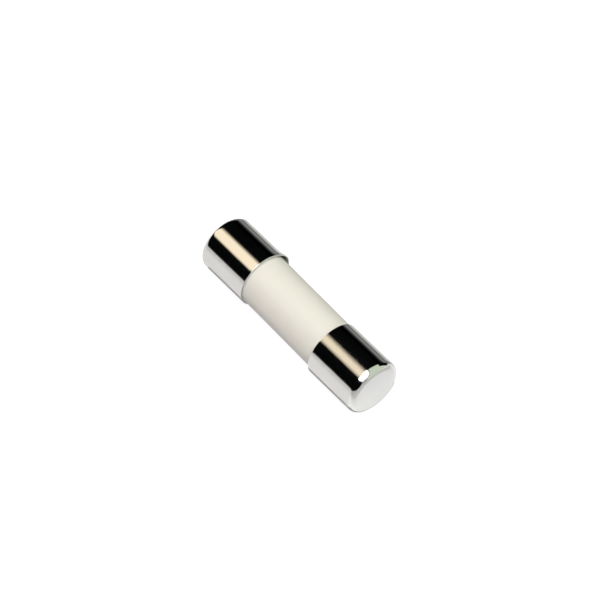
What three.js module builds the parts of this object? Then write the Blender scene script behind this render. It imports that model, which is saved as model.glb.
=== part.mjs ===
// A 5 x 20 mm ceramic cartridge fuse of the slow, high-breaking-capacity kind, as a three.js scene graph.
// Millimetres, +Z up. The origin is the middle of the fuse on its axis, and the axis runs along X.
// Each piece that would come apart on a bench is its own named mesh: the tube, the two drawn caps, the
// cement that bonds them, the solder, the washers that hold the sand, the sand, and the wound element.
import * as THREE from "three";

// Driving dimensions.
const OVERALL_LENGTH = 20;
const CAP_DIAMETER = 5.2;
const CAP_LENGTH = 5.5;
const CAP_WALL = 0.16;
const CAP_FLOOR = 0.22;
const CAP_CORNER_RADIUS = 0.6;
const CAP_LIP_RADIUS = 0.05;
const TUBE_DIAMETER = 4.76;
const TUBE_BORE = 3.2;
const TUBE_EDGE_CHAMFER = 0.12;
const SOLDER_FILM = 0.3; // solder between the cap's floor and the end of the tube
const SOLDER_BACK_CHAMFER = 0.3; // where it fills the rounded corner inside the cap
const SOLDER_PLUG_DEPTH = 1.0; // how far the solder runs into the bore
const SOLDER_DIMPLE_DEPTH = 0.2; // how far its face towards the sand is drawn back in the middle
const SOLDER_DIMPLE_DIAMETER = 1.6;
const WASHER_THICKNESS = 0.35;
const ELEMENT_SETBACK = 0.1; // from the end of the tube to the end of the element, inside the solder
const CORE_DIAMETER = 0.5;
const WIRE_DIAMETER = 0.16;
const WINDING_PITCH = 0.85;
const BEAD_DIAMETER = 1.5;
const BEAD_LENGTH = 1.1;
const BEAD_SHOULDER_LENGTH = 0.55; // the stretch of the bead that has its full diameter
const BEAD_END_DIAMETER = 1.25;
const CLEARANCE = 0.015; // between pieces that touch

// Worked out from them.
const CAP_RADIUS = CAP_DIAMETER / 2;
const CAP_INNER_RADIUS = CAP_RADIUS - CAP_WALL;
const CAP_INNER_CORNER_RADIUS = CAP_CORNER_RADIUS - CAP_WALL;
const TUBE_RADIUS = TUBE_DIAMETER / 2;
const BORE_RADIUS = TUBE_BORE / 2;
const HALF_LENGTH = OVERALL_LENGTH / 2;
const CAP_MOUTH_X = HALF_LENGTH - CAP_LENGTH;
const CAP_FLOOR_X = HALF_LENGTH - CAP_FLOOR;
const CAP_INNER_CORNER_X = CAP_FLOOR_X - CAP_INNER_CORNER_RADIUS;
const TUBE_END_X = CAP_FLOOR_X - SOLDER_FILM;
const SOLDER_PLUG_X = TUBE_END_X - SOLDER_PLUG_DEPTH;
const WASHER_X = SOLDER_PLUG_X - CLEARANCE;
const SAND_END_X = WASHER_X - WASHER_THICKNESS - CLEARANCE;
const CORE_RADIUS = CORE_DIAMETER / 2;
const WIRE_RADIUS = WIRE_DIAMETER / 2;
const WINDING_RADIUS = CORE_RADIUS + WIRE_RADIUS + CLEARANCE;
const WINDING_OUTER_RADIUS = WINDING_RADIUS + WIRE_RADIUS;
const ELEMENT_HOLE_RADIUS = WINDING_OUTER_RADIUS + CLEARANCE;
const ELEMENT_END_X = TUBE_END_X - ELEMENT_SETBACK;
const BEAD_RADIUS = BEAD_DIAMETER / 2;

// Sides of the turned pieces: each is a multiple of 4, so that flats face up, down, front and back.
const SHELL_SIDES = 48;
const INNER_SIDES = 24;
const CORE_SIDES = 12;
const WIRE_SIDES = 6;
const WIRE_STEPS_PER_TURN = 12;
const CORNER_STEPS = 5;
const INNER_CORNER_STEPS = 4;

// Materials.
const nickel = new THREE.MeshStandardMaterial({ color: 0xd9d4c9, roughness: 0.12, metalness: 1 });
const whiteCeramic = new THREE.MeshStandardMaterial({ color: 0xe9e5da, roughness: 0.45, metalness: 0 });
const cement = new THREE.MeshStandardMaterial({ color: 0xcfc8b4, roughness: 0.8, metalness: 0 });
const solder = new THREE.MeshStandardMaterial({ color: 0xa9abad, roughness: 0.35, metalness: 1 });
const fibre = new THREE.MeshStandardMaterial({ color: 0x9c7f66, roughness: 0.85, metalness: 0 });
const quartzSand = new THREE.MeshStandardMaterial({ color: 0xd8cfbd, roughness: 0.9, metalness: 0 });
const glassYarn = new THREE.MeshStandardMaterial({ color: 0xe8ebe6, roughness: 0.6, metalness: 0 });
const tinnedWire = new THREE.MeshStandardMaterial({ color: 0xc9c4bb, roughness: 0.25, metalness: 1 });
const tin = new THREE.MeshStandardMaterial({ color: 0xb6b8ba, roughness: 0.3, metalness: 1 });

const fuse = new THREE.Group();

// A piece turned about the X axis. The profile is a list of [x, radius], and it starts and ends on the
// axis or closes on itself. It runs so that the solid lies to its left, with x to the right and the
// radius upwards. LatheGeometry turns it about its own Y axis and wants the solid on the other side, so
// the points are reversed. The radii are those of the flats, so the sizes across flats are the real
// diameters.
function turned(profile, sides) {
  const halfStep = Math.PI / sides;
  const points = profile.map(([x, radius]) => new THREE.Vector2(radius / Math.cos(halfStep), x)).reverse();
  const geometry = new THREE.LatheGeometry(points, sides, halfStep);
  return geometry.rotateZ(-Math.PI / 2);
}

// A closed profile of a ring between two radii and two places on the axis.
function ringProfile(xLow, xHigh, innerRadius, outerRadius) {
  return [
    [xLow, innerRadius],
    [xHigh, innerRadius],
    [xHigh, outerRadius],
    [xLow, outerRadius],
    [xLow, innerRadius],
  ];
}

// The points of an arc about [x, radius], between two angles measured from the +x side.
function arc(x, radius, arcRadius, fromDegrees, toDegrees, steps) {
  return Array.from({ length: steps + 1 }, (_, i) => {
    const angle = THREE.MathUtils.degToRad(fromDegrees + ((toDegrees - fromDegrees) * i) / steps);
    return [x + arcRadius * Math.cos(angle), radius + arcRadius * Math.sin(angle)];
  });
}

function addPiece(name, geometry, material, parent = fuse) {
  const mesh = new THREE.Mesh(geometry, material);
  mesh.name = name;
  parent.add(mesh);
}

// The tube is one fired ceramic piece with a small chamfer on each end, inside and out.
function ceramicTube() {
  const chamfered = TUBE_END_X - TUBE_EDGE_CHAMFER;
  return turned(
    [
      [-chamfered, BORE_RADIUS],
      [chamfered, BORE_RADIUS],
      [TUBE_END_X, BORE_RADIUS + TUBE_EDGE_CHAMFER],
      [TUBE_END_X, TUBE_RADIUS - TUBE_EDGE_CHAMFER],
      [chamfered, TUBE_RADIUS],
      [-chamfered, TUBE_RADIUS],
      [-TUBE_END_X, TUBE_RADIUS - TUBE_EDGE_CHAMFER],
      [-TUBE_END_X, BORE_RADIUS + TUBE_EDGE_CHAMFER],
      [-chamfered, BORE_RADIUS],
    ],
    SHELL_SIDES,
  );
}

// A deep-drawn cup: flat end, rounded corner, thin barrel and a lip with a slightly broken edge.
function endCap() {
  const cornerX = HALF_LENGTH - CAP_CORNER_RADIUS;
  const cornerY = CAP_RADIUS - CAP_CORNER_RADIUS;
  const innerCornerY = CAP_INNER_RADIUS - CAP_INNER_CORNER_RADIUS;
  return turned(
    [
      [HALF_LENGTH, 0],
      ...arc(cornerX, cornerY, CAP_CORNER_RADIUS, 0, 90, CORNER_STEPS),
      [CAP_MOUTH_X + CAP_LIP_RADIUS, CAP_RADIUS],
      [CAP_MOUTH_X, CAP_RADIUS - CAP_LIP_RADIUS],
      [CAP_MOUTH_X, CAP_INNER_RADIUS],
      ...arc(CAP_INNER_CORNER_X, innerCornerY, CAP_INNER_CORNER_RADIUS, 90, 0, INNER_CORNER_STEPS),
      [CAP_FLOOR_X, 0],
    ],
    SHELL_SIDES,
  );
}

// The thin sleeve of cement that fills the fit between the tube and the cap's barrel. It ends where the
// tube's chamfer or the cap's inner corner starts.
function cementSleeve() {
  const farEnd = Math.min(TUBE_END_X - TUBE_EDGE_CHAMFER, CAP_INNER_CORNER_X);
  return turned(
    ringProfile(CAP_MOUTH_X + CLEARANCE, farEnd, TUBE_RADIUS + CLEARANCE, CAP_INNER_RADIUS - CLEARANCE),
    SHELL_SIDES,
  );
}

// Solder that fills the cap behind the tube and runs into the bore, with a blind hole that the element
// sits in. Its face towards the sand is drawn back in the middle.
function solderSlug() {
  const filmRadius = TUBE_RADIUS - TUBE_EDGE_CHAMFER;
  const plugRadius = BORE_RADIUS - CLEARANCE;
  const dimpleX = SOLDER_PLUG_X + SOLDER_DIMPLE_DEPTH;
  const holeBottomX = ELEMENT_END_X + CLEARANCE;
  const filmX = TUBE_END_X + CLEARANCE;
  const floorX = CAP_FLOOR_X - CLEARANCE;
  return turned(
    [
      [floorX, 0],
      [floorX, filmRadius - SOLDER_BACK_CHAMFER],
      [filmX, filmRadius],
      [filmX, BORE_RADIUS],
      [TUBE_END_X - TUBE_EDGE_CHAMFER, plugRadius],
      [SOLDER_PLUG_X, plugRadius],
      [dimpleX, SOLDER_DIMPLE_DIAMETER / 2],
      [dimpleX, ELEMENT_HOLE_RADIUS],
      [holeBottomX, ELEMENT_HOLE_RADIUS],
      [holeBottomX, 0],
    ],
    INNER_SIDES,
  );
}

// The punched fibre washer that keeps the sand in and centres the element.
function retainingWasher() {
  return turned(
    ringProfile(WASHER_X - WASHER_THICKNESS, WASHER_X, ELEMENT_HOLE_RADIUS, BORE_RADIUS - CLEARANCE),
    INNER_SIDES,
  );
}

// The packed quartz sand, which fills the bore round the element and its bead.
function sandFilling() {
  const outerRadius = BORE_RADIUS - CLEARANCE;
  const beadHalf = BEAD_LENGTH / 2 + CLEARANCE;
  const beadHoleRadius = BEAD_RADIUS + CLEARANCE;
  return turned(
    [
      [-SAND_END_X, ELEMENT_HOLE_RADIUS],
      [-beadHalf, ELEMENT_HOLE_RADIUS],
      [-beadHalf, beadHoleRadius],
      [beadHalf, beadHoleRadius],
      [beadHalf, ELEMENT_HOLE_RADIUS],
      [SAND_END_X, ELEMENT_HOLE_RADIUS],
      [SAND_END_X, outerRadius],
      [-SAND_END_X, outerRadius],
      [-SAND_END_X, ELEMENT_HOLE_RADIUS],
    ],
    INNER_SIDES,
  );
}

// The glass-fibre strand that the wire is wound on.
function elementCore() {
  return turned(
    [
      [ELEMENT_END_X, 0],
      [ELEMENT_END_X, CORE_RADIUS],
      [-ELEMENT_END_X, CORE_RADIUS],
      [-ELEMENT_END_X, 0],
    ],
    CORE_SIDES,
  );
}

// The line of the wire: a helix of even pitch about the X axis.
class WindingCurve extends THREE.Curve {
  constructor(halfSpan, radius, turns) {
    super();
    this.halfSpan = halfSpan;
    this.radius = radius;
    this.turns = turns;
  }

  getPoint(t, target = new THREE.Vector3()) {
    const angle = 2 * Math.PI * this.turns * t;
    const x = this.halfSpan * (2 * t - 1);
    return target.set(x, this.radius * Math.cos(angle), this.radius * Math.sin(angle));
  }
}

// The fusible wire, wound on the core from one solder slug to the other.
function elementWire() {
  const halfSpan = ELEMENT_END_X - WIRE_DIAMETER; // the wire stops one diameter short of the core's end
  const turns = Math.round((2 * halfSpan) / WINDING_PITCH);
  const curve = new WindingCurve(halfSpan, WINDING_RADIUS, turns);
  const section = new THREE.Shape();
  for (let i = 0; i < WIRE_SIDES; i += 1) {
    const angle = (2 * Math.PI * i) / WIRE_SIDES;
    const point = [WIRE_RADIUS * Math.cos(angle), WIRE_RADIUS * Math.sin(angle)];
    if (i === 0) section.moveTo(...point);
    else section.lineTo(...point);
  }
  section.closePath();
  return new THREE.ExtrudeGeometry(section, {
    steps: turns * WIRE_STEPS_PER_TURN,
    extrudePath: curve,
    bevelEnabled: false,
  });
}

// The bead of tin on the middle of the winding, which alloys with the wire on a long overload.
function tinBead() {
  const endRadius = BEAD_END_DIAMETER / 2;
  const shoulder = BEAD_SHOULDER_LENGTH / 2;
  return turned(
    [
      [-BEAD_LENGTH / 2, ELEMENT_HOLE_RADIUS],
      [BEAD_LENGTH / 2, ELEMENT_HOLE_RADIUS],
      [BEAD_LENGTH / 2, endRadius],
      [shoulder, BEAD_RADIUS],
      [-shoulder, BEAD_RADIUS],
      [-BEAD_LENGTH / 2, endRadius],
      [-BEAD_LENGTH / 2, ELEMENT_HOLE_RADIUS],
    ],
    INNER_SIDES,
  );
}

addPiece("ceramic_tube", ceramicTube(), whiteCeramic);
addPiece("sand_filling", sandFilling(), quartzSand);
addPiece("element_core", elementCore(), glassYarn);
addPiece("element_wire", elementWire(), tinnedWire);
addPiece("tin_bead", tinBead(), tin);

// The pieces of each end. They are drawn for the +X end, and half a turn about Z makes the other one.
for (const [side, turn] of [["right", 0], ["left", Math.PI]]) {
  const end = new THREE.Group();
  end.rotation.z = turn;
  fuse.add(end);
  addPiece(`end_cap_${side}`, endCap(), nickel, end);
  addPiece(`cement_sleeve_${side}`, cementSleeve(), cement, end);
  addPiece(`solder_slug_${side}`, solderSlug(), solder, end);
  addPiece(`retaining_washer_${side}`, retainingWasher(), fibre, end);
}

export default fuse;
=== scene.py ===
"""The looks of a small ceramic cartridge fuse: the drawn, fired, wound and cast surfaces that stand for
its CAD pieces, their finishes, and a small studio to see them in. Lengths are metres unless a name or a
description says otherwise. The fuse lies along X with its middle at the origin and +Z up."""

import math

import bpy
import numpy as np
from bpy.props import FloatProperty, FloatVectorProperty, PointerProperty
from mathutils import Matrix, Vector


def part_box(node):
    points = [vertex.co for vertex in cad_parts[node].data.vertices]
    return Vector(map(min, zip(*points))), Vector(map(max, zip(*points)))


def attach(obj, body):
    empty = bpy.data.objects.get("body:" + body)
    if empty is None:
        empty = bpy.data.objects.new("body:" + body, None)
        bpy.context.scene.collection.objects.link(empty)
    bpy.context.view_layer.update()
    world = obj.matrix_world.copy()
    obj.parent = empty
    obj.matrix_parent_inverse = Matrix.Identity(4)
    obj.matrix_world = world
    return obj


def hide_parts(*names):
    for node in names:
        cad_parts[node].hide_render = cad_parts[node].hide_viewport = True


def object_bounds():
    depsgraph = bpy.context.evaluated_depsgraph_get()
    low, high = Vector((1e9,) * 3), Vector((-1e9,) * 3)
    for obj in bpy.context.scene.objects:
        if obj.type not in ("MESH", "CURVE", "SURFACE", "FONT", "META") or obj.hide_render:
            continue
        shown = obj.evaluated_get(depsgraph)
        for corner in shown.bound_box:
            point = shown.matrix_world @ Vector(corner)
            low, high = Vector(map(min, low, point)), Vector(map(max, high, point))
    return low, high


bl_info = {
    "name": "Ceramic cartridge fuse",
    "version": (1, 0, 0),
    "blender": (4, 5, 0),
    "location": "3D View > Sidebar > Fuse",
    "description": "Builds the surfaces, finishes and studio of a ceramic cartridge fuse",
    "category": "Object",
}

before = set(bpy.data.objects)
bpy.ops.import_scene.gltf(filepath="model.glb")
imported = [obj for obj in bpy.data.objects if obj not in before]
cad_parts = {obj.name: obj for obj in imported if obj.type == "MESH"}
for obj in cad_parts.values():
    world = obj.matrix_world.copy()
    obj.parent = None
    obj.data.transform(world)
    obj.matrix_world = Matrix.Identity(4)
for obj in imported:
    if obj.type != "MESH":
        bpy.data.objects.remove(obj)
cad_low, cad_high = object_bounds()

MM = 0.001
MICRON = 0.000001
TURN = 2 * math.pi
BODY = "root"
SIDES = {"right": 1.0, "left": -1.0}  # the direction along X in which each end points


def span(node):
    """The lowest x, the highest x and the radius of a CAD piece that is turned about the X axis."""
    low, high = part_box(node)
    return low.x, high.x, high.z


# ---------------------------------------------------------------------------------------------------
# Values that a user would change


def length(name, description, millimetres):
    """A length property whose default is given in millimetres."""
    return FloatProperty(
        name=name, description=description, default=millimetres * MM, min=0.0, precision=5, unit="LENGTH"
    )


def colour(name, description, red, green, blue):
    """A linear colour property."""
    return FloatVectorProperty(
        name=name, description=description, default=(red, green, blue),
        min=0.0, soft_max=1.0, subtype="COLOR",
    )


def angles(name, description, *degrees):
    """Some angles, with defaults given in degrees."""
    default = tuple(math.radians(angle) for angle in degrees)
    return FloatVectorProperty(
        name=name, description=description, default=default,
        size=len(default), subtype="EULER", unit="ROTATION",
    )


def factor(name, description, default):
    """A number property that is usually between nought and a few units."""
    return FloatProperty(name=name, description=description, default=default, min=0.0, precision=3)


class FuseSizes(bpy.types.PropertyGroup):
    """Sizes of the fine shapes. The outer sizes come from the CAD pieces."""

    gap: length("Gap", "Clearance between pieces that touch", 0.015)
    cap_wall: length("Cap wall", "Thickness of the cap's barrel", 0.16)
    cap_floor: length("Cap floor", "Thickness of the cap's end", 0.22)
    corner_radius: length("Corner radius", "Outer radius between the cap's end and its barrel", 0.6)
    lip_radius: length("Lip radius", "Rounding of the mouth's two edges", 0.04)
    end_dish: length("End dish", "How far the middle of the end face is drawn in", 0.006)
    tube_chamfer: length("Tube chamfer", "Chamfer on the ends of the ceramic tube", 0.12)
    flare: length("Flare", "How far one place on the left cap's mouth stands out", 0.16)
    lean_right: angles("Right cap's lean", "Angles of the right cap about Y and Z", 0.0, 1.25)
    lean_left: angles("Left cap's lean", "Angles of the left cap about Y and Z", -0.7, 0.8)
    cement_recess: length("Cement recess", "How far the cement lies inside the cap's mouth", 0.8)
    solder_chamfer: length("Solder chamfer", "Where the solder fills the cap's rounded corner", 0.3)
    solder_hollow: length("Solder hollow", "How far the solder's face is drawn back", 0.2)
    grain_size: length("Grain size", "Distance between neighbouring grains of sand", 0.3)
    grain_relief: length("Grain relief", "Height of a grain above the joints round it", 0.07)
    yarn_twist: length("Yarn twist", "Length of one turn of the yarn's strands", 2.2)
    wire_diameter: length("Wire diameter", "Diameter of the fusible wire", 0.16)
    winding_pitch: length("Winding pitch", "Distance between the turns of the wire", 0.85)


class FuseFinish(bpy.types.PropertyGroup):
    """Colours and gloss of the finishes."""

    nickel: colour("Nickel", "Bright nickel plate", 0.695, 0.69, 0.68)
    nickel_roughness: factor("Nickel roughness", "Roughness of clean nickel", 0.045)
    ceramic: colour("Ceramic", "Fired white ceramic", 0.783, 0.759, 0.718)
    ceramic_roughness: factor("Ceramic roughness", "Roughness of the satin surface", 0.58)
    cement: colour("Cement", "Set cement", 0.60, 0.56, 0.46)
    solder: colour("Solder", "Soft solder and tin", 0.60, 0.61, 0.62)
    fibre: colour("Fibre", "Vulcanised fibre", 0.33, 0.20, 0.13)
    sand: colour("Sand", "Quartz sand", 0.68, 0.61, 0.49)
    yarn: colour("Yarn", "Glass-fibre yarn", 0.82, 0.84, 0.81)
    wire: colour("Wire", "Tinned wire", 0.70, 0.69, 0.66)


class FuseStudio(bpy.types.PropertyGroup):
    """The camera and the light."""

    azimuth: FloatProperty(name="Azimuth", description="Angle of the camera round the fuse, from -Y",
                           default=math.radians(51.3), subtype="ANGLE")
    elevation: FloatProperty(name="Elevation", description="Height of the camera above the horizon",
                             default=math.radians(53.1), subtype="ANGLE")
    distance: length("Distance", "From the camera to the middle of the fuse", 300)
    lens: factor("Lens", "Focal length in millimetres on a 36 mm sensor", 217.4)
    aim_right: length("Aim right", "How far the camera is moved to its right", 0.15)
    aim_up: length("Aim up", "How far the camera is moved upwards in its own view", 1.17)
    floor_drop: length("Floor drop", "How far the leaning caps reach under the straight fuse", 0.045)
    # The strip under the fuse is a painted contact shadow.
    strip_width: length("Strip width", "Width of the grey strip under the fuse", 6.4)
    floor_white: colour("Floor white", "Reflectance of the floor", 0.88, 0.874, 0.93)
    floor_glow: factor("Floor glow", "Light added to the floor where it is seen directly", 0.55)
    softbox: factor("Softbox", "Radiance of the overhead softbox", 3.4)
    fill: factor("Fill", "Radiance of the wide overhead fill", 0.13)
    ceiling: factor("Ceiling", "Radiance of the warm ceiling beside the softbox", 1.15)
    bounce: factor("Bounce", "Radiance of the low card behind the fuse", 0.45)


def sizes():
    """The scene's sizes."""
    return bpy.context.scene.fuse_sizes


def finish():
    """The scene's colours and gloss."""
    return bpy.context.scene.fuse_finish


def studio():
    """The scene's camera and light values."""
    return bpy.context.scene.fuse_studio


# ---------------------------------------------------------------------------------------------------
# Outlines: lists of [x, radius]


def rounded(corners, steps=8, spacing=0.12 * MM):
    """An outline through corners [x, radius, rounding], with each corner replaced by an arc that
    touches both of its straights. On a corner that turns by an angle A, the arc of radius r starts
    r tan(A / 2) before the corner and ends as far after it. Straights get a point every spacing."""
    corners = np.array(corners, float)
    points = corners[:, :2]
    pieces = [points[:1]]
    for before, corner, after, rounding in zip(points[:-2], points[1:-1], points[2:], corners[1:-1, 2]):
        arriving = (corner - before) / np.linalg.norm(corner - before)
        leaving = (after - corner) / np.linalg.norm(after - corner)
        turn = math.atan2(arriving[0] * leaving[1] - arriving[1] * leaving[0], arriving @ leaving)
        if rounding == 0 or abs(turn) < 1e-6:
            pieces.append(corner[None])
            continue
        side = math.copysign(1.0, turn)
        start = corner - arriving * rounding * math.tan(abs(turn) / 2)
        normal = np.array([-arriving[1], arriving[0]]) * side
        angles = np.linspace(0.0, abs(turn), steps + 1)[:, None]
        pieces.append(start + rounding * (np.sin(angles) * arriving + (1 - np.cos(angles)) * normal))
    pieces.append(points[-1:])
    return divided(np.concatenate(pieces), spacing)


def divided(outline, spacing):
    """The same outline with points added evenly, so that none are further apart than spacing."""
    gaps = np.linalg.norm(np.diff(outline, axis=0), axis=1)
    outline = outline[np.concatenate([[True], gaps > 1e-9])]
    gaps = gaps[gaps > 1e-9]
    counts = np.ceil(gaps / spacing - 1e-6).astype(int)
    start = np.concatenate([[0.0], np.cumsum(gaps)])
    places = [np.linspace(a, b, n, endpoint=False) for a, b, n in zip(start[:-1], start[1:], counts)]
    places = np.concatenate([*places, start[-1:]])
    return np.stack([np.interp(places, start, outline[:, k]) for k in (0, 1)], 1)


# ---------------------------------------------------------------------------------------------------
# Surfaces


def grid_faces(rows, columns, rows_wrap):
    """The quads of a grid of points numbered row by row. The columns always close on themselves."""
    row = np.arange(rows if rows_wrap else rows - 1)[:, None]
    column = np.arange(columns)[None, :]
    next_row, next_column = (row + 1) % rows, (column + 1) % columns
    corners = [
        row * columns + column,
        row * columns + next_column,
        next_row * columns + next_column,
        next_row * columns + column,
    ]
    return np.stack(corners, -1).reshape(-1, 4)


def closed_piece(name, grid, poles=None):
    """A closed, smooth mesh object from a grid of points (rows, columns, 3). Without poles the last row
    joins the first one. With poles, the first and last rows are closed by fans to those two points.
    The faces are turned round if the enclosed volume, the sum of a . (b x c) / 6, is negative."""
    rows, columns = grid.shape[:2]
    points = grid.reshape(-1, 3)
    quads = grid_faces(rows, columns, poles is None)
    fans = np.zeros((0, 3), int)
    if poles is not None:
        ring = np.arange(columns)
        following = (ring + 1) % columns
        last = (rows - 1) * columns
        first_pole = np.full(columns, len(points))
        fans = np.concatenate([
            np.stack([first_pole, following, ring], 1),
            np.stack([first_pole + 1, last + ring, last + following], 1),
        ])
        points = np.concatenate([points, np.array(poles, float)])
    triangles = points[np.concatenate([quads[:, :3], quads[:, [0, 2, 3]], fans])]
    volume = np.einsum("ij,ij->i", triangles[:, 0], np.cross(triangles[:, 1], triangles[:, 2])).sum()
    if volume < 0:
        quads, fans = quads[:, ::-1], fans[:, ::-1]
    mesh = bpy.data.meshes.new(name)
    mesh.from_pydata(points.tolist(), [], quads.tolist() + fans.tolist())
    mesh.shade_smooth()
    piece = bpy.data.objects.new(name, mesh)
    bpy.context.scene.collection.objects.link(piece)
    return piece


def turned(name, outline, columns, relief, side=1.0):
    """An outline of [x, r] carried round the X axis in some columns: a point at angle a is
    (x, r sin a, r cos a). The relief is a function of x, r and a that is added to the radius. An outline
    that starts and ends on the axis gets poles there. Side -1 turns the piece half way round Z, for the
    other end."""
    angles = np.linspace(0.0, TURN, columns, endpoint=False)[None, :]
    on_axis = outline[0, 1] == 0
    rings = outline[1:-1] if on_axis else outline[:-1]
    x, radius = rings[:, :1], rings[:, 1:]
    radius = radius + relief(x, radius, angles)
    grid = np.stack([x + 0 * angles, radius * np.sin(angles), radius * np.cos(angles)], -1)
    half_turn = np.array([side, side, 1.0])
    poles = np.array([[outline[k, 0], 0.0, 0.0] for k in (0, -1)]) * half_turn if on_axis else None
    return closed_piece(name, grid * half_turn, poles)


def flare(x, angle, mouth):
    """A place where the mouth was pried outwards: from 1 at the mouth down to 0 at the reach, as
    (1 - d)^2, and exp(-(a / w)^2) at an angle a to either side of it round the cap."""
    place, width, reach = math.radians(294.0), 0.48, 0.9 * MM
    inward = np.clip((x - mouth) / reach, 0, 1)
    return (1 - inward) ** 2 * np.exp(-((angle - place) / width) ** 2)


def lean(piece, middle, about_y, about_z):
    """Turns a piece's mesh about its middle, first about Z and then about Y."""
    turn = Matrix.Rotation(about_y, 4, "Y") @ Matrix.Rotation(about_z, 4, "Z")
    piece.data.transform(Matrix.Translation(middle) @ turn @ Matrix.Translation(-middle))


def ripple(x, angle, seed, height, waves=6, around=9, along=3 * MM):
    """Smooth unevenness: the sum of some waves cos(m a + k x + p), divided by the root of their number.
    The whole numbers m go up to around, so that the waves meet after one turn. Their lengths 2 pi / k go
    down to along, and the seed chooses m, k and the phases p."""
    random = np.random.default_rng(seed)
    whole = random.integers(1, around + 1, waves)
    rate = random.uniform(-1, 1, waves) * TURN / along
    phase = random.uniform(0, TURN, waves)
    total = sum(np.cos(m * angle + k * x + p) for m, k, p in zip(whole, rate, phase))
    return height * total / math.sqrt(waves)


# ---------------------------------------------------------------------------------------------------
# Shader maths


class Socket:
    """A node's output. Arithmetic on it adds Math nodes and gives another such output."""

    def __init__(self, shader, link):
        self.shader = shader
        self.link = link

    def maths(self, operation, *others):
        """A Math node that works on this number and the others."""
        return self.shader.add("ShaderNodeMath", {"operation": operation}, dict(enumerate((self, *others))))

    def __add__(self, other):
        return self.maths("ADD", other)

    def __sub__(self, other):
        return self.maths("SUBTRACT", other)

    def __rsub__(self, other):
        return -self + other

    def __neg__(self):
        return self.maths("MULTIPLY", -1.0)

    def __mul__(self, other):
        return self.maths("MULTIPLY", other)

    def __truediv__(self, other):
        return self.maths("DIVIDE", other)

    def __pow__(self, other):
        return self.maths("POWER", other)

    __radd__ = __add__
    __rmul__ = __mul__

    def clamped(self):
        """The same number, held between 0 and 1."""
        return self.maths("MAXIMUM", 0.0).maths("MINIMUM", 1.0)

    def above(self, low, high):
        """0 before low, 1 past high, and a smooth step between them. High may be the smaller one."""
        settings = {"interpolation_type": "SMOOTHSTEP"}
        values = {"Value": self, "From Min": low, "From Max": high}
        return self.shader.add("ShaderNodeMapRange", settings, values)


class Shader:
    """The node tree of a material or a world."""

    def __init__(self, owner):
        owner.use_nodes = True
        self.tree = owner.node_tree
        self.tree.nodes.clear()

    def add(self, kind, settings=None, values=None, output=0):
        """Adds a node of that kind, makes its settings, then sets or links its sockets by name or
        number, and gives the output of that name or number."""
        node = self.tree.nodes.new(kind)
        for name, setting in (settings or {}).items():
            setattr(node, name, setting)
        for name, value in (values or {}).items():
            if isinstance(value, Socket):
                self.tree.links.new(value.link, node.inputs[name])
            else:
                node.inputs[name].default_value = value
        return Socket(self, node.outputs[output]) if len(node.outputs) else node

    def place(self, stretch=(1.0, 1.0, 1.0)):
        """Object coordinates in millimetres, each multiplied by its stretch."""
        here = self.add("ShaderNodeTexCoord", output="Object")
        scale = tuple(s / MM for s in stretch)
        return self.add("ShaderNodeVectorMath", {"operation": "MULTIPLY"}, {0: here, 1: scale})

    def parts(self, vector):
        """The x, y and z of a vector."""
        return [self.add("ShaderNodeSeparateXYZ", None, {0: vector}, output=k) for k in range(3)]

    def noise(self, place, scale, detail=3.0, roughness=0.5, distortion=0.0):
        """Noise between 0 and 1 with that many features to the unit of place."""
        values = {"Vector": place, "Scale": scale, "Detail": detail, "Roughness": roughness,
                  "Distortion": distortion}
        return self.add("ShaderNodeTexNoise", None, values, output="Fac")

    def cells(self, place, scale, output="Distance"):
        """The distance to the nearest of many scattered points, or that point's own colour."""
        return self.add("ShaderNodeTexVoronoi", None, {"Vector": place, "Scale": scale}, output)

    def blend(self, share, first, second):
        """A colour between two others. The sockets for colours are the Mix node's inputs 6 and 7 and its
        output 2."""
        first, second = (end if isinstance(end, Socket) else (*end, 1.0) for end in (first, second))
        return self.add("ShaderNodeMix", {"data_type": "RGBA"}, {0: share, 6: first, 7: second}, output=2)

    def tint(self, colour, strength):
        """A colour multiplied by a number."""
        return self.add("ShaderNodeVectorMath", {"operation": "SCALE"}, {0: colour, "Scale": strength})

    def bump(self, height, depth):
        """A normal for a surface raised by height times depth, a length."""
        return self.add("ShaderNodeBump", None, {"Strength": 1.0, "Distance": depth, "Height": height},
                        output="Normal")

    def surface(self, values):
        """A Principled BSDF with those sockets, as the material's surface."""
        closure = self.add("ShaderNodeBsdfPrincipled", None, values)
        self.add("ShaderNodeOutputMaterial", None, {"Surface": closure})


def new_material(name):
    """An empty material and the shader that fills it."""
    material = bpy.data.materials.new(name)
    return material, Shader(material)


def tinted(base, red, green, blue):
    """A base colour multiplied by three shares, worked out here and not in nodes."""
    return tuple(b * s for b, s in zip(base, (red, green, blue)))


# ---------------------------------------------------------------------------------------------------
# Finishes


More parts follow.
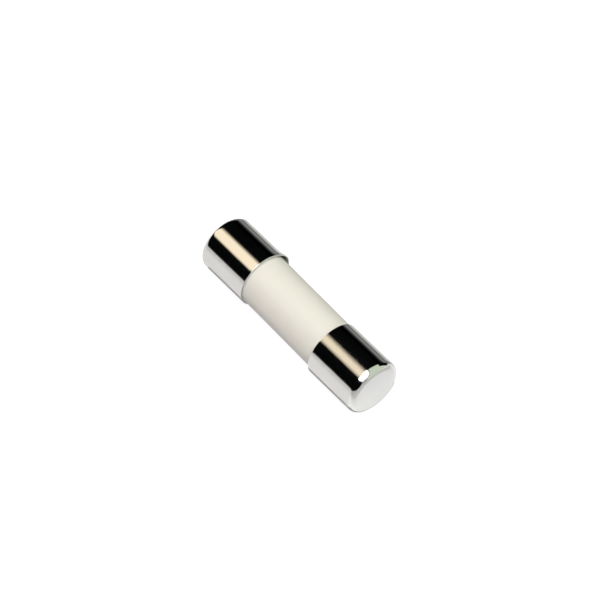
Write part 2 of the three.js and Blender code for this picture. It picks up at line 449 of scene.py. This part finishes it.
def bright_nickel():
    """Bright nickel on deep-drawn brass: faint lines along the draw, very fine scratches from the
    tumbling barrel, a few shallow dents, and slow clouds where the plate is a little duller or warmer."""
    material, shader = new_material("bright_nickel")
    base = finish().nickel
    here = shader.place()
    clouds = shader.noise(here, 0.55, 4.0)
    haze = shader.noise(here, 3.1, 5.0, 0.6)
    drawn = shader.noise(shader.place((0.12, 1.0, 1.0)), 17.0, 3.0)
    one_way = shader.noise(shader.place((14.0, 1.2, 0.5)), 1.6, 2.0)
    other_way = shader.noise(shader.place((0.9, 5.0, 16.0)), 1.3, 2.0)
    scratches = one_way.above(0.70, 0.76) + other_way.above(0.71, 0.77)
    pits = 1.0 - shader.cells(here, 2.3).above(0.03, 0.075)
    peel = shader.noise(here, 7.0, 2.0)
    cool, warm = tinted(base, 0.97, 0.975, 0.985), tinted(base, 1.03, 1.02, 1.0)
    colours = shader.blend((clouds * 0.7 + haze * 0.3).clamped(), cool, warm)
    roughness = (clouds ** 2.0) * 0.05 + haze * 0.03 + scratches * 0.08 + pits * 0.2
    height = drawn * 0.35 + peel * 0.5 - scratches * 0.35 - pits * 1.2
    shader.surface({
        "Base Color": colours,
        "Metallic": 1.0,
        "Roughness": (roughness + finish().nickel_roughness).clamped(),
        "Normal": shader.bump(height, 0.35 * MICRON),
    })
    return material


def fired_ceramic():
    """Fired white ceramic with a satin surface: a warm off-white with slow clouds, a fine grain, faint
    lines along the way it was extruded, a few pale-brown specks and small open pores."""
    material, shader = new_material("fired_ceramic")
    base = finish().ceramic
    here = shader.place()
    clouds = shader.noise(here, 0.5, 4.0)
    mottle = shader.noise(here, 4.5, 4.0, 0.65)
    grain = shader.noise(here, 26.0, 3.0, 0.6)
    lines = shader.noise(shader.place((0.10, 1.0, 1.0)), 9.0, 3.0)
    speck_spread = shader.noise(here, 1.9, 1.0)
    specks = (1.0 - shader.cells(here, 2.7).above(0.035, 0.07)) * speck_spread.above(0.5, 0.62)
    pores = (1.0 - shader.cells(here, 5.2).above(0.05, 0.11)) * mottle.above(0.46, 0.6)
    cool, warm = tinted(base, 0.965, 0.97, 0.985), tinted(base, 1.03, 1.02, 1.0)
    brown, shaded = tinted(base, 0.62, 0.52, 0.40), tinted(base, 0.7, 0.68, 0.65)
    colours = shader.blend((clouds * 0.6 + mottle * 0.4).clamped(), cool, warm)
    colours = shader.blend(specks * 0.45, colours, brown)
    # Painted shade: the pores are darkened towards a shaded tone.
    colours = shader.blend(pores * 0.18, colours, shaded)
    roughness = (mottle * 0.16 + clouds * 0.06 - 0.11) + pores * 0.2 + finish().ceramic_roughness
    height = grain * 0.5 + lines * 0.5 + mottle * 0.5 - pores * 1.6
    shader.surface({
        "Base Color": colours,
        "Roughness": roughness.clamped(),
        "IOR": 1.6,
        "Specular IOR Level": 0.35,
        "Normal": shader.bump(height, 2.2 * MICRON),
    })
    return material


def set_cement():
    """Set cement: pale, matte and sandy, with small voids."""
    material, shader = new_material("set_cement")
    base = finish().cement
    here = shader.place()
    lumps = shader.noise(here, 3.0, 5.0, 0.6)
    grain = shader.noise(here, 34.0, 3.0, 0.6)
    voids = 1.0 - shader.cells(here, 6.0).above(0.08, 0.17)
    dark, pale = tinted(base, 0.75, 0.74, 0.72), tinted(base, 1.2, 1.2, 1.2)
    shaded = tinted(base, 0.45, 0.43, 0.4)
    colours = shader.blend((lumps * 0.6 + grain * 0.4).clamped(), dark, pale)
    # Painted shade: the voids are darkened towards a shaded tone.
    colours = shader.blend(voids * 0.5, colours, shaded)
    shader.surface({
        "Base Color": colours,
        "Roughness": (grain * 0.2 + 0.72).clamped(),
        "Normal": shader.bump(lumps * 0.5 + grain * 0.7 - voids, 9.0 * MICRON),
    })
    return material


def soft_solder():
    """Soft solder and tin: a bright grey skin with frosty grains and shrinkage lines."""
    material, shader = new_material("soft_solder")
    base = finish().solder
    here = shader.place()
    grains = shader.cells(here, 5.0)
    frost = shader.noise(here, 22.0, 4.0, 0.65)
    flow = shader.noise(here, 2.0, 3.0, 0.5, 1.4)
    dark, pale = tinted(base, 0.84, 0.85, 0.87), tinted(base, 1.12, 1.11, 1.08)
    colours = shader.blend((grains * 0.6 + frost * 0.4).clamped(), dark, pale)
    shader.surface({
        "Base Color": colours,
        "Metallic": 1.0,
        "Roughness": (frost * 0.22 + flow * 0.18 + 0.12).clamped(),
        "Normal": shader.bump(flow * 1.6 + grains * 0.6 + frost * 0.25, 5.0 * MICRON),
    })
    return material


def pressed_fibre():
    """Vulcanised fibre: red-brown sheet of pressed layers with a short matted nap."""
    material, shader = new_material("pressed_fibre")
    base = finish().fibre
    here = shader.place()
    nap = shader.noise(here, 14.0, 5.0, 0.7, 0.8)
    layers = shader.noise(shader.place((26.0, 0.6, 0.6)), 1.0, 2.0)
    dark, pale = tinted(base, 0.62, 0.6, 0.58), tinted(base, 1.4, 1.35, 1.3)
    colours = shader.blend((nap * 0.65 + layers * 0.35).clamped(), dark, pale)
    shader.surface({
        "Base Color": colours,
        "Roughness": (nap * 0.2 + 0.66).clamped(),
        "Normal": shader.bump(nap + layers * 0.4, 8.0 * MICRON),
    })
    return material


def packed_sand():
    """Packed quartz sand: each grain has its own tone between clear grey and honey."""
    material, shader = new_material("packed_sand")
    base = finish().sand
    here = shader.place()
    tone = shader.add("ShaderNodeSeparateColor", None, {0: shader.cells(here, 3.3, "Color")})
    facets = shader.noise(here, 11.0, 3.0, 0.6)
    honey, clear = tinted(base, 0.72, 0.68, 0.6), tinted(base, 1.3, 1.32, 1.36)
    colours = shader.blend(tone, honey, clear)
    shader.surface({
        "Base Color": colours,
        "Roughness": (tone * 0.25 + facets * 0.2 + 0.3).clamped(),
        "Normal": shader.bump(facets, 14.0 * MICRON),
    })
    return material


def twisted_glass():
    """Twisted glass-fibre yarn: silky white, with the fine filaments seen along each strand."""
    material, shader = new_material("twisted_glass")
    base = finish().yarn
    filaments = shader.noise(shader.place((1.4, 10.0, 10.0)), 5.0, 3.0, 0.6)
    sheen = shader.noise(shader.place(), 2.5, 2.0)
    dark, pale = tinted(base, 0.72, 0.73, 0.74), tinted(base, 1.08, 1.08, 1.08)
    colours = shader.blend((filaments * 0.8 + sheen * 0.2).clamped(), dark, pale)
    shader.surface({
        "Base Color": colours,
        "Roughness": (filaments * 0.25 + 0.35).clamped(),
        "Normal": shader.bump(filaments, 6.0 * MICRON),
    })
    return material


def hot_tinned():
    """Hot-tinned wire: bright, with drawing lines, thicker runs of tin and small dull spots."""
    material, shader = new_material("hot_tinned")
    base = finish().wire
    here = shader.place()
    runs = shader.noise(here, 5.0, 3.0, 0.5, 0.6)
    dull = shader.noise(here, 16.0, 3.0, 0.6)
    dark, pale = tinted(base, 0.82, 0.82, 0.84), tinted(base, 1.15, 1.14, 1.1)
    colours = shader.blend(dull, dark, pale)
    shader.surface({
        "Base Color": colours,
        "Metallic": 1.0,
        "Roughness": (dull * 0.2 + runs * 0.08 + 0.1).clamped(),
        "Normal": shader.bump(runs + dull * 0.2, 3.0 * MICRON),
    })
    return material


def material_once(make):
    """The material that a function makes. It has the function's name and is made only once."""
    return bpy.data.materials.get(make.__name__) or make()


def stand_for(piece, node, make):
    """Gives a piece its finish and puts it in the place of its CAD node."""
    piece.data.materials.append(material_once(make))
    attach(piece, BODY)
    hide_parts(node)


# ---------------------------------------------------------------------------------------------------
# Pieces


class FUSE_OT_end_caps(bpy.types.Operator):
    """Deep-drawn cups with a flat end, a rounded corner and a thin barrel, pressed on a little askew"""

    bl_idname = "fuse.end_caps"
    bl_label = "End caps"

    def execute(self, context):
        s = sizes()
        mouth, end, radius = span("end_cap_right")
        inside = radius - s.cap_wall
        floor = end - s.cap_floor
        dish_floor, dish_rim = radius * 0.30, radius * 0.62
        outline = rounded([
            (end - s.end_dish, 0.0, 0.0),
            (end - s.end_dish, dish_floor, radius * 0.8),
            (end, dish_rim, radius * 0.5),
            (end, radius, s.corner_radius),
            (mouth, radius, s.lip_radius),
            (mouth, inside, s.lip_radius),
            (floor, inside, s.corner_radius - s.cap_wall),
            (floor, 0.0, 0.0),
        ], steps=14, spacing=0.10 * MM)
        leans = {"right": s.lean_right, "left": s.lean_left}
        flares = {"right": 0.0, "left": s.flare}
        for number, (name, side) in enumerate(SIDES.items()):
            def relief(x, r, angle, number=number, pried=flares[name]):
                barrel = np.clip(r / radius, 0, 1) ** 4
                slow = ripple(x, angle, seed=11 + number, height=1.6 * MICRON, around=6, along=6 * MM)
                fine = ripple(x, angle, seed=21 + number, height=0.25 * MICRON, around=40, along=1.5 * MM)
                return (slow + fine) * barrel + pried * flare(x, angle, mouth)

            piece = turned(f"cap_{name}", outline, 256, relief, side)
            lean(piece, Vector((side * (mouth + end) / 2, 0.0, 0.0)), *leans[name])
            stand_for(piece, f"end_cap_{name}", bright_nickel)
        return {"FINISHED"}


class FUSE_OT_ceramic_tube(bpy.types.Operator):
    """The fired tube, with its bore and the chamfers on both ends"""

    bl_idname = "fuse.ceramic_tube"
    bl_label = "Ceramic tube"

    def execute(self, context):
        s = sizes()
        high, radius = span("ceramic_tube")[1:]
        bore = span("sand_filling")[2] + s.gap
        bevel = s.tube_chamfer
        soft = bevel / 2
        half = [
            (high - bevel, bore, soft),
            (high, bore + bevel, soft),
            (high, radius - bevel, soft),
            (high - bevel, radius, soft),
        ]
        other_half = [(-x, r, rounding) for x, r, rounding in reversed(half)]
        middle = (0.0, bore, 0.0)
        outline = rounded([middle, *half, *other_half, middle], steps=5, spacing=0.16 * MM)

        def relief(x, r, angle):
            slow = ripple(x, angle, seed=31, height=4.0 * MICRON, around=3, along=12 * MM)
            fine = ripple(x, angle, seed=32, height=1.2 * MICRON, waves=12, around=24, along=1.2 * MM)
            return slow + fine

        stand_for(turned("tube", outline, 224, relief), "ceramic_tube", fired_ceramic)
        return {"FINISHED"}


class FUSE_OT_cement_sleeves(bpy.types.Operator):
    """The cement between the tube and each cap, with an uneven edge inside the cap's mouth"""

    bl_idname = "fuse.cement_sleeves"
    bl_label = "Cement sleeves"

    def execute(self, context):
        s = sizes()
        low, high, outer = span("cement_sleeve_right")
        inner = span("ceramic_tube")[2] + s.gap
        start = low + s.cement_recess
        soft = (outer - inner) / 3
        outline = rounded([
            (high / 2 + start / 2, inner, 0.0),
            (high, inner, soft),
            (high, outer, soft),
            (start, outer, soft),
            (start + soft, inner, soft),
            (high / 2 + start / 2, inner, 0.0),
        ], steps=4, spacing=0.2 * MM)
        for number, (name, side) in enumerate(SIDES.items()):
            def relief(x, r, angle, number=number):
                return ripple(
                    x, angle, seed=41 + number, height=3.0 * MICRON, waves=14, around=30, along=0.9 * MM
                )

            piece = turned(f"cement_{name}", outline, 192, relief, side)
            stand_for(piece, f"cement_sleeve_{name}", set_cement)
        return {"FINISHED"}


class FUSE_OT_solder_slugs(bpy.types.Operator):
    """The solder behind the tube and in its bore, wetted up the walls and drawn back in the middle"""

    bl_idname = "fuse.solder_slugs"
    bl_label = "Solder slugs"

    def execute(self, context):
        s = sizes()
        face, back, film_radius = span("solder_slug_right")
        tube_end = span("ceramic_tube")[1]
        core_end = span("element_core")[1]
        plug = span("sand_filling")[2]
        hole = span("element_wire")[2] + s.gap
        soft = 0.04 * MM
        outline = rounded([
            (back, 0.0, 0.0),
            (back, film_radius - s.solder_chamfer, soft * 2),
            (tube_end + s.gap, film_radius, soft),
            (tube_end + s.gap, plug + s.gap, soft),
            (tube_end - s.tube_chamfer, plug, soft * 2),
            (face, plug, soft),
            (face + s.solder_hollow, plug * 0.5, plug * 0.5),
            (face + s.solder_hollow * 0.8, hole, soft / 2),
            (core_end + s.gap, hole, soft),
            (core_end + s.gap, 0.0, 0.0),
        ], steps=8, spacing=0.08 * MM)
        for number, (name, side) in enumerate(SIDES.items()):
            def relief(x, r, angle, number=number):
                uneven = ripple(x, angle, seed=51 + number, height=6.0 * MICRON, waves=9, along=1.5 * MM)
                return -np.abs(uneven) * (r > hole * 1.5)

            piece = turned(f"solder_{name}", outline, 144, relief, side)
            stand_for(piece, f"solder_slug_{name}", soft_solder)
        return {"FINISHED"}


class FUSE_OT_washers(bpy.types.Operator):
    """The punched fibre washers: rounded by the punch on one side, with a small burr on the other"""

    bl_idname = "fuse.washers"
    bl_label = "Retaining washers"

    def execute(self, context):
        s = sizes()
        low, high, outer = span("retaining_washer_right")
        hole = span("element_wire")[2] + s.gap
        burr = 0.02 * MM
        die_roll = 0.08 * MM
        outline = rounded([
            (low / 2 + high / 2, hole, 0.0),
            (high - burr, hole, 0.0),
            (high, hole + burr, burr / 3),
            (high - burr, hole + burr * 3, burr),
            (high - burr, outer - burr * 3, burr),
            (high, outer - burr, burr / 3),
            (high - burr, outer, 0.0),
            (low, outer, die_roll),
            (low, hole, die_roll / 2),
            (low / 2 + high / 2, hole, 0.0),
        ], steps=6, spacing=0.06 * MM)
        for number, (name, side) in enumerate(SIDES.items()):
            def relief(x, r, angle, number=number):
                nap = ripple(
                    x, angle, seed=61 + number, height=5.0 * MICRON, waves=12, around=36, along=0.5 * MM
                )
                return -np.abs(nap)

            piece = turned(f"washer_{name}", outline, 128, relief, side)
            stand_for(piece, f"retaining_washer_{name}", pressed_fibre)
        return {"FINISHED"}


class FUSE_OT_sand(bpy.types.Operator):
    """The packed sand, whose outer grains press against the bore"""

    bl_idname = "fuse.sand"
    bl_label = "Sand filling"

    def execute(self, context):
        s = sizes()
        low, high, outer = span("sand_filling")
        hole = span("element_wire")[2] + s.gap
        bead_half, bead_radius = span("tin_bead")[1] + s.gap, span("tin_bead")[2] + s.gap
        outline = rounded([
            (0.0, bead_radius, 0.0),
            (bead_half, bead_radius, 0.0),
            (bead_half, hole, 0.0),
            (high, hole, 0.0),
            (high, outer, s.grain_relief),
            (low, outer, s.grain_relief),
            (low, hole, 0.0),
            (-bead_half, hole, 0.0),
            (-bead_half, bead_radius, 0.0),
            (0.0, bead_radius, 0.0),
        ], steps=3, spacing=0.055 * MM)
        random = np.random.default_rng(71)
        around = round(TURN * outer / s.grain_size)
        along = round((high - low) / s.grain_size)
        seat_angle = np.arange(around)[None, :] + random.uniform(-0.4, 0.4, (along, around))
        seat_angle = seat_angle * TURN / around
        seat_x = np.arange(along)[:, None] + random.uniform(0.1, 0.9, (along, around))
        seat_x = low + seat_x * s.grain_size
        seats = np.stack([seat_x, outer * np.sin(seat_angle), outer * np.cos(seat_angle)], -1)
        seats = seats.reshape(-1, 3)

        def relief(x, r, angle):
            """Each grain bulges: at a distance d from the nearest seat the surface sinks by the relief
            times (d / reach)^2. It goes ring by ring to save memory."""
            surface = np.broadcast_arrays(x, r * np.sin(angle), r * np.cos(angle))
            points = np.stack(surface, -1)
            nearest = np.full(points.shape[:2], np.inf)
            for row in range(len(points)):
                near = seats[np.abs(seats[:, 0] - x[row, 0]) < 2 * s.grain_size]
                if len(near):
                    gaps = points[row][:, None, :] - near[None, :, :]
                    nearest[row] = np.sqrt((gaps ** 2).sum(-1)).min(1)
            grain_reach = 0.6 * s.grain_size
            sunk = np.clip(nearest / grain_reach, 0, 1) ** 2
            return -s.grain_relief * sunk * (r > outer - 2 * s.grain_relief)

        stand_for(turned("sand", outline, 208, relief), "sand_filling", packed_sand)
        return {"FINISHED"}


class FUSE_OT_element_core(bpy.types.Operator):
    """The strand of glass yarn that carries the winding"""

    bl_idname = "fuse.element_core"
    bl_label = "Element core"

    def execute(self, context):
        s = sizes()
        low, high, radius = span("element_core")
        strands = 7
        groove = 0.18
        soft = radius * 0.2
        outline = rounded([
            (high, 0.0, 0.0), (high, radius, soft), (low, radius, soft), (low, 0.0, 0.0)
        ], steps=4, spacing=0.06 * MM)

        def relief(x, r, angle):
            """Twisted strands: the radius falls by groove (1 - |cos(n (a - k x) / 2)|) between n strands
            that turn once in the length of the twist."""
            wound = angle - TURN * x / s.yarn_twist
            return -r * groove * (1 - np.abs(np.cos(strands * wound / 2)))

        stand_for(turned("core", outline, 112, relief), "element_core", twisted_glass)
        return {"FINISHED"}


class FUSE_OT_element_wire(bpy.types.Operator):
    """The fusible wire, wound on the core from one slug of solder to the other"""

    bl_idname = "fuse.element_wire"
    bl_label = "Element wire"

    def execute(self, context):
        # The middle of the wire is the helix (x, R cos a, R sin a). Rings of its radius stand across the
        # helix, and near each end they shrink as sqrt(1 - (1 - d)^2), which rounds the end.
        s = sizes()
        low, high, outer = span("element_wire")
        thick = s.wire_diameter / 2
        winding = outer - thick
        reach = min(-low, high) - thick
        turns = round(2 * reach / s.winding_pitch)
        steps_per_turn, sides = 40, 14
        stations = np.linspace(0.0, 1.0, turns * steps_per_turn + 1)
        end_share = np.clip(np.minimum(stations, 1 - stations) * turns * TURN * winding / thick, 0, 1)
        thickness = thick * np.sqrt(1 - (1 - end_share) ** 2)
        angle = TURN * turns * stations
        zero = np.zeros_like(angle)
        path = np.stack([reach * (2 * stations - 1), winding * np.cos(angle), winding * np.sin(angle)], 1)
        outward = np.stack([zero, np.cos(angle), np.sin(angle)], 1)
        tangent = np.gradient(path, axis=0)
        tangent /= np.linalg.norm(tangent, axis=1, keepdims=True)
        across = np.cross(tangent, outward)
        round_angle = np.linspace(0.0, TURN, sides, endpoint=False)[None, :, None]
        section = np.cos(round_angle) * outward[:, None] + np.sin(round_angle) * across[:, None]
        grid = path[:, None] + thickness[:, None, None] * section
        piece = closed_piece("wire", grid[1:-1], path[[0, -1]])
        stand_for(piece, "element_wire", hot_tinned)
        return {"FINISHED"}


class FUSE_OT_tin_bead(bpy.types.Operator):
    """The bead of tin melted on to the middle of the winding"""

    bl_idname = "fuse.tin_bead"
    bl_label = "Tin bead"

    def execute(self, context):
        s = sizes()
        low, high, radius = span("tin_bead")
        hole = span("element_wire")[2] + s.gap
        shoulder = high * 0.8
        outline = rounded([
            (0.0, hole, 0.0),
            (high, hole, 0.0),
            (high, hole + radius * 0.2, radius * 0.08),
            (shoulder, radius, radius * 0.5),
            (-shoulder, radius, radius * 0.5),
            (low, hole + radius * 0.2, radius * 0.08),
            (low, hole, 0.0),
            (0.0, hole, 0.0),
        ], steps=10, spacing=0.04 * MM)

        def relief(x, r, angle):
            lumps = ripple(x, angle, seed=81, height=22.0 * MICRON, waves=8, around=5, along=1.4 * MM)
            return -np.abs(lumps) * np.clip((r - hole) / (radius - hole), 0, 1)

        stand_for(turned("bead", outline, 128, relief), "tin_bead", soft_solder)
        return {"FINISHED"}


# ---------------------------------------------------------------------------------------------------
# Studio


CEILING = 0.4  # height of the softbox and of the panels round it
SOFTBOX_LOW = (-0.17, -0.312)  # its corners, as (x, y)
SOFTBOX_HIGH = (0.30, 0.035)
WALL_X = 0.9  # where the walls beyond the right cap stand
WALL_Y = 0.5  # how far the cards in front of the fuse and behind it are from its axis


def staged(piece, floor=False):
    """Hides all pieces of the studio but the floor from the camera, and lets them throw no shadow."""
    piece.visible_camera = floor
    piece.visible_shadow = floor


def card(name, low, high, material):
    """A flat rectangle between two corners that share one coordinate: (1 - u) low + u high in its first
    free direction and the same with v in its second."""
    low, high = np.array(low, float), np.array(high, float)
    first = np.flatnonzero(low != high)[0]
    corners = np.array([low, low, high, high])
    corners[1, first] = high[first]
    corners[3, first] = low[first]
    mesh = bpy.data.meshes.new(name)
    mesh.from_pydata(corners.tolist(), [], [(0, 1, 2, 3)])
    mesh.materials.append(material)
    piece = bpy.data.objects.new(name, mesh)
    bpy.context.scene.collection.objects.link(piece)
    return piece


def glowing(name, tint, strength):
    """A material that only gives light. The strength is a number, or a function that takes the x, y and
    z in millimetres and gives the strength there."""
    material, shader = new_material(name)
    emission = {"Emission Color": (*tint, 1.0), "Emission Strength": strength}
    if callable(strength):
        light = shader.tint(tint, strength(*shader.parts(shader.place())))
        emission = {"Emission Color": light, "Emission Strength": 1.0}
    shader.surface({"Base Color": (0.0, 0.0, 0.0, 1.0), "Specular IOR Level": 0.0, **emission})
    return material


def area_light(name, low, high, height, radiance, tint, mirrored):
    """An area light facing down, between two corners given as (x, y). Its power in watts is pi times its
    area times the radiance. If it isn't mirrored, polished pieces don't show it."""
    light = bpy.data.lights.new(name, "AREA")
    light.shape = "RECTANGLE"
    light.size, light.size_y = high[0] - low[0], high[1] - low[1]
    light.energy = radiance * math.pi * light.size * light.size_y
    light.color = tint
    lamp = bpy.data.objects.new(name, light)
    lamp.location = ((low[0] + high[0]) / 2, (low[1] + high[1]) / 2, height)
    lamp.visible_camera = False
    lamp.visible_glossy = mirrored
    bpy.context.scene.collection.objects.link(lamp)


class FUSE_OT_studio(bpy.types.Operator):
    """The camera, the white floor, the overhead softbox, the cards round the fuse and the world"""

    bl_idname = "fuse.studio"
    bl_label = "Studio"

    def camera(self):
        """A long lens on the fuse. At azimuth a and elevation e, the direction of view is
        (-sin a cos e, cos a cos e, -sin e), and the camera stands back along it."""
        v = studio()
        flat = math.cos(v.elevation)
        right = Vector((math.cos(v.azimuth), math.sin(v.azimuth), 0.0))
        direction = Vector((-right.y * flat, right.x * flat, -math.sin(v.elevation)))
        up = right.cross(direction)
        lens = bpy.data.cameras.new("camera")
        lens.lens = v.lens
        lens.clip_start, lens.clip_end = 1 * MM, 10.0
        camera = bpy.data.objects.new("camera", lens)
        camera.location = right * v.aim_right + up * v.aim_up - direction * v.distance
        camera.rotation_mode = "QUATERNION"
        camera.rotation_quaternion = direction.to_track_quat("-Z", "Y")
        bpy.context.scene.collection.objects.link(camera)
        bpy.context.scene.camera = camera

    def floor(self):
        """A white sweep, and a grey strip right under the fuse that is a painted contact shadow. In what the
        caps mirror, the sweep is much darker behind the fuse and a little darker in front of it and beyond
        its right end, which is painted shade. Right at that end it is brighter, a painted glow that every
        ray sees. It throws less light back on to the fuse than it shows. Seen directly, it glows, so that
        only the deepest shadow is left on it, and the strip isn't there. x and y are in millimetres."""
        v = studio()
        level = cad_low.z - v.floor_drop
        reach, clearance = 1.4, 0.02 * MM
        white = (1.0, 1.0, 1.0)
        material, shader = new_material("white_floor")
        seen = shader.add("ShaderNodeLightPath", output="Is Camera Ray")
        bounced = shader.add("ShaderNodeLightPath", output="Is Diffuse Ray")
        x, y = shader.parts(shader.place())[:2]
        # Painted shade: the floor is darker behind the fuse, in front of it and beyond its right end, in
        # reflections and bounced light. Seen directly, the glow makes up for it.
        behind = y.above(1.0, 26.0) * x.above(12.0, 8.0) * 0.75
        ahead = y.above(-4.0, -50.0) * 0.2
        beyond_end = x.above(12.6, 16.0) * y.above(30.0, 15.0) * 0.3
        dimmed = behind + ahead + beyond_end
        # Painted light: a patch by the right end glows for every ray, to brighten the end face's reflection.
        painted_glow_at_end = x.above(9.2, 9.8) * x.above(12.6, 10.4) * 0.22
        shader.surface({
            "Base Color": shader.tint(v.floor_white, 1.0 - dimmed - bounced * 0.36),
            "Roughness": 0.9,
            "Specular IOR Level": 0.0,
            "Emission Color": shader.tint(white, seen * (dimmed + v.floor_glow) + painted_glow_at_end),
            "Emission Strength": 1.0,
        })
        staged(card("floor", (-reach, -reach, level), (reach, reach, level), material), floor=True)
        half, height = v.strip_width / 2, level + clearance
        # Painted contact shadow: a dim sheet under the fuse, hidden from the camera. It shows in the caps'
        # reflections and dims the light bounced on to the fuse.
        grey = glowing("painted_contact_shadow", white, 0.42)
        staged(card("strip", (cad_low.x, -half, height), (cad_high.x, half, height), grey))

    def cards(self):
        """What the polished caps show besides the floor and the softbox: a warm ceiling on the left, a
        white panel that lengthens the softbox to the right, a grey wall beyond it, a pale green panel and
        walls at the right behind the fuse, and low cards before and behind it that fade upwards."""
        v = studio()

        def warmth(x, y, z):
            """The left cap shows the part where -x / sqrt(y^2 + z^2) is over 0.53, and the right cap the
            part where it is less. The right cap's part is narrower."""
            shown_by_left = (-x / (y * y + z * z) ** 0.5).above(0.51, 0.56)
            wide = y.above(-370.0, -250.0) * y.above(68.0, -45.0) * 1.2
            narrow = y.above(-318.0, -168.0) * y.above(60.0, -90.0)
            return (shown_by_left * wide + (1.0 - shown_by_left) * narrow) * v.ceiling

        def fading(x, y, z):
            """(1 - z / top)^2.6, and nothing above the top."""
            top = 218.0
            return (1.0 - (z / top).clamped()) ** 2.6 * v.bounce

        def low_down(x, y, z):
            """A smooth step from the card's top down to the height of the fuse's axis."""
            top = 78.0
            return z.above(top, 0.0) * 0.9

        warm = glowing("warm_ceiling", (1.0, 0.865, 0.65), warmth)
        white = glowing("near_white", (1.0, 1.0, 0.97), 1.5)
        grey = glowing("near_grey", (1.0, 1.0, 1.0), 0.42)
        green = glowing("pale_green", (0.88, 1.0, 0.80), 0.85)
        cool_white = glowing("fading_white", (0.95, 1.0, 0.99), fading)
        warm_white = glowing("plain_white", (1.0, 0.985, 0.96), low_down)
        ground = cad_low.z
        front, back = SOFTBOX_LOW[1], SOFTBOX_HIGH[1]
        for name, low, high, material in (
            ("ceiling", (-5.0, -0.39, CEILING), (-0.178, 0.06, CEILING), warm),
            ("near_panel", (0.301, front, CEILING), (WALL_X, back, CEILING), white),
            ("near_wall", (WALL_X, front, ground), (WALL_X, back, CEILING), grey),
            ("side_panel", (-0.14, 0.06, CEILING), (3.2, WALL_Y, CEILING), green),
            ("end_wall", (WALL_X, 0.05, ground), (WALL_X, WALL_Y, CEILING), green),
            ("side_wall", (0.2, WALL_Y, ground), (WALL_X, WALL_Y, CEILING), green),
            ("front_card", (-0.8, -WALL_Y, ground), (0.5, -WALL_Y, 0.08), warm_white),
            ("back_card", (-0.8, WALL_Y, ground), (-0.06, WALL_Y, 0.35), cool_white),
        ):
            staged(card(name, low, high, material))

    def lights(self):
        """The softbox, which polished pieces show, and a wide fill, which they don't."""
        v = studio()
        reach, height = 0.9, 0.9
        area_light("softbox", SOFTBOX_LOW, SOFTBOX_HIGH, CEILING, v.softbox, (1.0, 0.985, 0.96), True)
        area_light("fill", (-reach, -reach), (reach, reach), height, v.fill, (1.0, 1.0, 1.0), False)

    def world(self):
        """White behind everything for the camera, and nearly black for what the pieces mirror."""
        world = bpy.data.worlds.new("studio_world")
        shader = Shader(world)
        seen = shader.add("ShaderNodeLightPath", output="Is Camera Ray")
        colours = shader.blend(seen, (0.002, 0.0022, 0.0025), (1.1, 1.1, 1.1))
        background = shader.add("ShaderNodeBackground", None, {"Color": colours, "Strength": 1.0})
        shader.add("ShaderNodeOutputWorld", None, {"Surface": background})
        bpy.context.scene.world = world

    def execute(self, context):
        context.scene.view_settings.view_transform = "Standard"
        self.camera()
        self.floor()
        self.cards()
        self.lights()
        self.world()
        return {"FINISHED"}


OPERATORS = (
    FUSE_OT_studio,
    FUSE_OT_ceramic_tube,
    FUSE_OT_end_caps,
    FUSE_OT_cement_sleeves,
    FUSE_OT_solder_slugs,
    FUSE_OT_washers,
    FUSE_OT_sand,
    FUSE_OT_element_core,
    FUSE_OT_element_wire,
    FUSE_OT_tin_bead,
)


class FUSE_PT_sidebar(bpy.types.Panel):
    """The fuse's pieces and values in the sidebar"""

    bl_idname = "FUSE_PT_sidebar"
    bl_label = "Cartridge fuse"
    bl_space_type = "VIEW_3D"
    bl_region_type = "UI"
    bl_category = "Fuse"

    def draw(self, context):
        for operator in OPERATORS:
            self.layout.operator(operator.bl_idname)
        for group in (sizes(), finish(), studio()):
            box = self.layout.box()
            for name in group.__annotations__:
                box.prop(group, name)


GROUPS = {"fuse_sizes": FuseSizes, "fuse_finish": FuseFinish, "fuse_studio": FuseStudio}


def register():
    for cls in (*GROUPS.values(), *OPERATORS, FUSE_PT_sidebar):
        bpy.utils.register_class(cls)
    for name, group in GROUPS.items():
        setattr(bpy.types.Scene, name, PointerProperty(type=group))


def unregister():
    for name in GROUPS:
        delattr(bpy.types.Scene, name)
    for cls in reversed((*GROUPS.values(), *OPERATORS, FUSE_PT_sidebar)):
        bpy.utils.unregister_class(cls)


def main():
    register()
    for operator in OPERATORS:
        group, name = operator.bl_idname.split(".")
        getattr(getattr(bpy.ops, group), name)()


if __name__ == "__main__":
    main()
